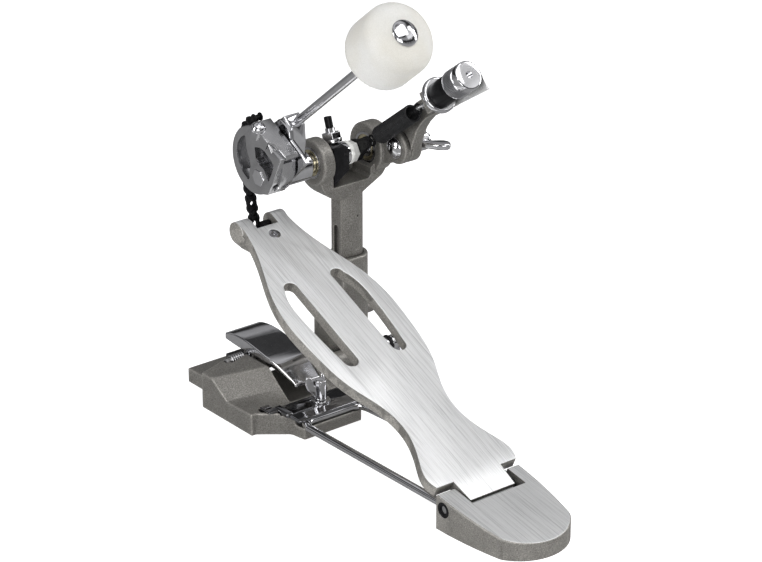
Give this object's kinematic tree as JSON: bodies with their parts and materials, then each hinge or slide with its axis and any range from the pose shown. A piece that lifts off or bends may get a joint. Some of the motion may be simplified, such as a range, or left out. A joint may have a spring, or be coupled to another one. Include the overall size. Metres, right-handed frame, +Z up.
{
  "type": "bass drum pedal",
  "caption": "Single bass drum pedal: sculpted footboard hinged on a heel plate, chain-driven cam on a yoke post, felt beater, side return spring and hoop-clamp base.",
  "frame": {"origin": "on the floor under the drive shaft, on the footboard's midline, on the underside of the base casting", "axes": "+Z up, +Y towards the drum, +X to the player's right"},
  "size_m": [0.1867, 0.382, 0.3639],
  "materials": {
    "brushed_alloy": "brushed",
    "toe_steel": "polished",
    "cast_grey": "satin",
    "polished_cam": "polished",
    "chrome": "polished",
    "dark_chrome": "satin",
    "steel": "satin",
    "black_steel": "satin",
    "black_plastic": "matte",
    "white_nylon": "satin",
    "rubber_pad": "matte",
    "gold_shield": "satin",
    "felt": "matte",
    "grey_plate": "satin"
  },
  "bodies": {
    "base": {"base_casting": "cast_grey", "bearing_balls": "steel", "bearing_outer_races": "steel", "bearing_shields": "gold_shield", "eye_bolt": "steel", "heel_casting": "cast_grey", "heel_pin": "steel", "heel_pin_bushes": "black_plastic", "height_screws": "black_steel", "hoop_pad": "rubber_pad", "knob_lock_plate": "grey_plate", "lever_pin": "steel", "lever_spring": "steel", "post_sleeve": "cast_grey", "rod_clamp_plate": "dark_chrome", "rod_clamp_washer": "steel", "sleeve_bolts": "black_steel", "stabiliser_rod": "chrome", "swivel_arm": "cast_grey", "swivel_bolt": "chrome", "tightener_flange": "chrome", "tightener_sleeve": "black_plastic", "yoke_post": "cast_grey"},
    "footboard": {"footboard": "brushed_alloy", "toe_screw": "toe_steel"},
    "rotor": {"drive_shaft": "chrome", "drive_cam": "polished_cam", "cam_set_screws": "black_steel", "beater_bracket": "polished_cam", "bracket_screw": "chrome", "rotor_block": "black_steel", "rotor_collar": "chrome", "rotor_key_bolt": "black_steel", "nylon_bush": "white_nylon", "spring_crank": "black_steel", "bearing_inner_races": "steel", "chain_wrap": "black_steel"},
    "beater_arm": {"beater_holder": "chrome", "beater_key_bolt": "black_steel"},
    "beater": {"beater_rod": "chrome", "beater_felt": "felt", "beater_cap_nut": "chrome"},
    "chain_link_5": {"chain_link_5": "black_steel"},
    "chain_link_4": {"chain_link_4": "black_steel"},
    "chain_link_3": {"chain_link_3": "black_steel"},
    "chain_link_2": {"chain_link_2": "black_steel"},
    "chain_link_1": {"chain_link_1": "black_steel"},
    "chain_run": {"chain_run": "black_steel", "toe_pin_spacer": "black_steel"},
    "spring_link": {"spring_top_hook": "black_steel", "return_spring": "black_steel"},
    "spring_hook": {"spring_low_hook": "black_steel"},
    "hoop_screw": {"hoop_clamp_screw": "chrome", "hoop_clamp_nut": "black_steel"},
    "hoop_lever": {"hoop_clamp_lever": "chrome"},
    "spring_knob": {"tightener_knob": "chrome"},
    "swivel_wing": {"swivel_wing_nut": "chrome"},
    "rod_screw": {"rod_clamp_screw": "chrome"}
  },
  "joints": [
    {"name": "footboard_hinge", "type": "hinge", "parent": "base", "child": "footboard", "pos_m": [0, -0.2579, 0.0184], "axis": [-1, 0, 0], "range_deg": [0, 8.75], "stiffness_Nm_per_rad": 30, "springref_deg": -5.73},
    {"name": "shaft_turn", "type": "hinge", "parent": "base", "child": "rotor", "pos_m": [0, 0, 0.195], "axis": [-1, 0, 0], "range_deg": [0, 60.05]},
    {"name": "chain_bend_5", "type": "hinge", "parent": "rotor", "child": "chain_link_5", "pos_m": [-0.004, 0.02216, 0.23425], "axis": [1, 0, 0], "range_deg": [0, 9.67]},
    {"name": "chain_bend_4", "type": "hinge", "parent": "chain_link_5", "child": "chain_link_4", "pos_m": [-0.004, 0.0278, 0.22859], "axis": [1, 0, 0], "range_deg": [0, 14.38]},
    {"name": "chain_bend_3", "type": "hinge", "parent": "chain_link_4", "child": "chain_link_3", "pos_m": [-0.004, 0.03187, 0.2217], "axis": [1, 0, 0], "range_deg": [0, 14.38]},
    {"name": "chain_bend_2", "type": "hinge", "parent": "chain_link_3", "child": "chain_link_2", "pos_m": [-0.004, 0.0341, 0.21402], "axis": [1, 0, 0], "range_deg": [0, 14.38]},
    {"name": "chain_bend_1", "type": "hinge", "parent": "chain_link_2", "child": "chain_link_1", "pos_m": [-0.004, 0.03436, 0.20602], "axis": [1, 0, 0], "range_deg": [0, 12.83]},
    {"name": "chain_run_bend", "type": "hinge", "parent": "chain_link_1", "child": "chain_run", "pos_m": [-0.004, 0.03284, 0.19817], "axis": [1, 0, 0], "range_deg": [0, 2.08]},
    {"name": "spring_link_swing", "type": "hinge", "parent": "base", "child": "spring_link", "pos_m": [0.086, -0.07397, 0.25054], "axis": [1, 0, 0], "range_deg": [0, 10.6]},
    {"name": "spring_stretch", "type": "slide", "parent": "spring_link", "child": "spring_hook", "axis": [0, 0.7997, -0.6004], "range_m": [0, 0.01045]},
    {"name": "beater_angle", "type": "hinge", "parent": "rotor", "child": "beater_arm", "pos_m": [0.015, 0, 0.195], "axis": [1, 0, 0], "range_deg": [-8, 8]},
    {"name": "beater_slide", "type": "slide", "parent": "beater_arm", "child": "beater", "axis": [0, -0.7738, 0.6334], "range_m": [-0.015, 0.012]},
    {"name": "hoop_screw_turn", "type": "hinge", "parent": "base", "child": "hoop_screw", "pos_m": [0.05, -0.02, 0.027], "axis": [1, 0, 0], "range_deg": [0, 360]},
    {"name": "hoop_lever_close", "type": "hinge", "parent": "base", "child": "hoop_lever", "pos_m": [0, 0.02, 0.035], "axis": [-1, 0, 0], "range_deg": [0, 5.02]},
    {"name": "spring_knob_turn", "type": "hinge", "parent": "base", "child": "spring_knob", "pos_m": [0.086, -0.12395, 0.28807], "axis": [0, -0.7997, 0.6004], "continuous": true},
    {"name": "swivel_wing_turn", "type": "hinge", "parent": "base", "child": "swivel_wing", "pos_m": [0.115, -0.0345, 0.2045], "axis": [1, 0, 0], "continuous": true},
    {"name": "rod_screw_turn", "type": "hinge", "parent": "base", "child": "rod_screw", "pos_m": [0.001, -0.057, 0.03], "axis": [0, 0, 1], "continuous": true}
  ],
  "couplings": [
    {"joint": "shaft_turn", "follows": "footboard_hinge", "ratio": 6.8609},
    {"joint": "chain_bend_5", "follows": "footboard_hinge", "ratio": 1.1031},
    {"joint": "chain_bend_4", "follows": "footboard_hinge", "ratio": 1.6422},
    {"joint": "chain_bend_3", "follows": "footboard_hinge", "ratio": 1.6422},
    {"joint": "chain_bend_2", "follows": "footboard_hinge", "ratio": 1.6422},
    {"joint": "chain_bend_1", "follows": "footboard_hinge", "ratio": 1.4647},
    {"joint": "chain_run_bend", "follows": "footboard_hinge", "ratio": 0.2357},
    {"joint": "spring_link_swing", "follows": "footboard_hinge", "ratio": 1.2092},
    {"joint": "spring_stretch", "follows": "footboard_hinge", "m_per_rad": 0.068416},
    {"joint": "hoop_lever_close", "follows": "hoop_screw_turn", "ratio": 0.013889}
  ]
}
